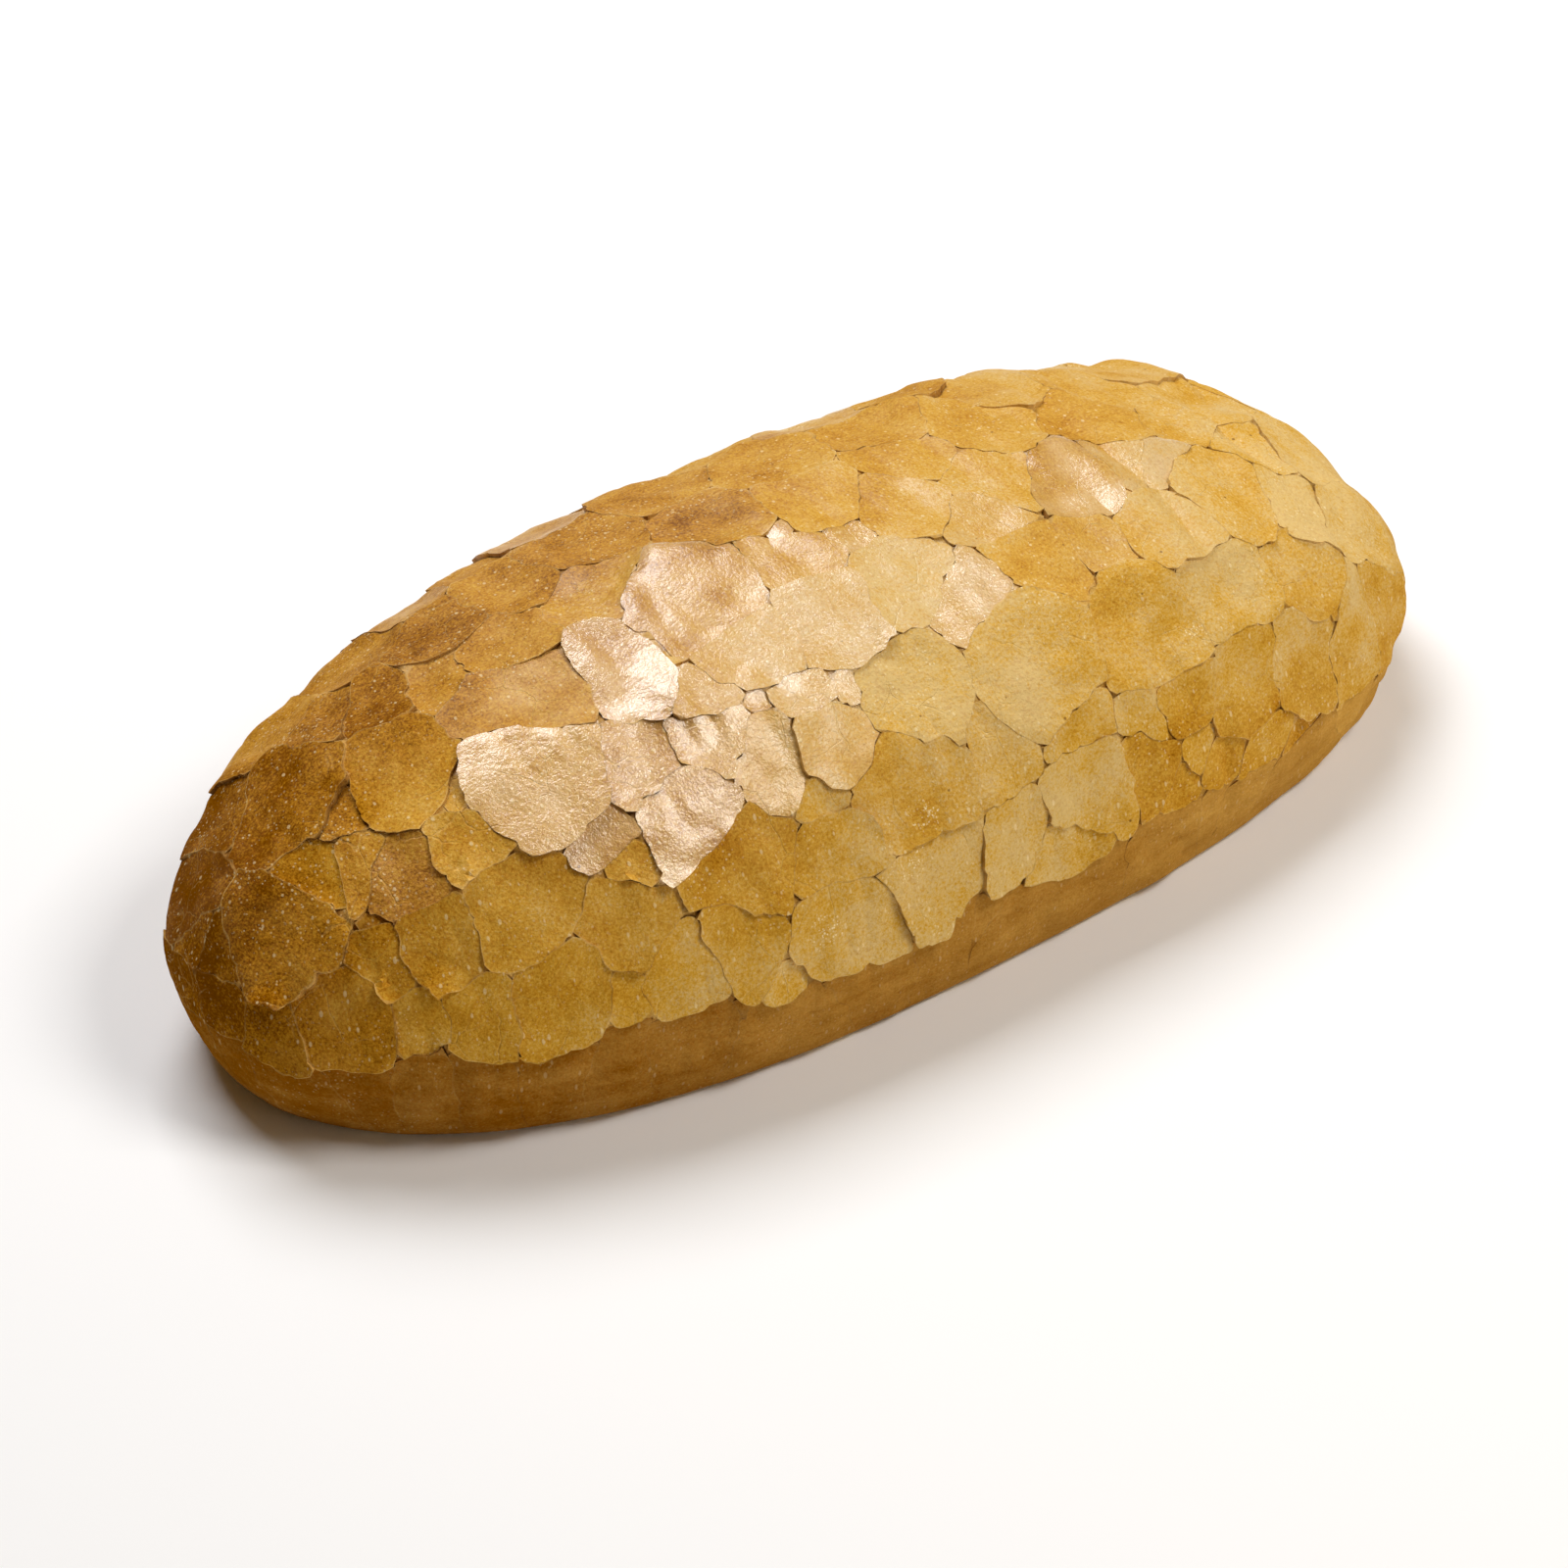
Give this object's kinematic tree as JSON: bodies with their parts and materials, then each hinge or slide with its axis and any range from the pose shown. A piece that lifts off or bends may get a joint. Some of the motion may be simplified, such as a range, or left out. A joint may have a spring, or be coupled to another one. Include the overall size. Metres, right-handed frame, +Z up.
{
  "type": "rye loaf",
  "caption": "Long oval hearth loaf with a domed, crackled golden-brown crust, a smooth tucked foot and a flat underside.",
  "frame": {"origin": "middle of the box's bottom face, on the flat underside where the loaf rests", "axes": "+X along the loaf towards its blunter end, +Z up"},
  "size_m": [0.3, 0.138, 0.084],
  "materials": {
    "crust": "semi-gloss baked crust, matte in patches"
  },
  "bodies": {
    "root": {"rye_loaf": "crust"}
  },
  "joints": []
}
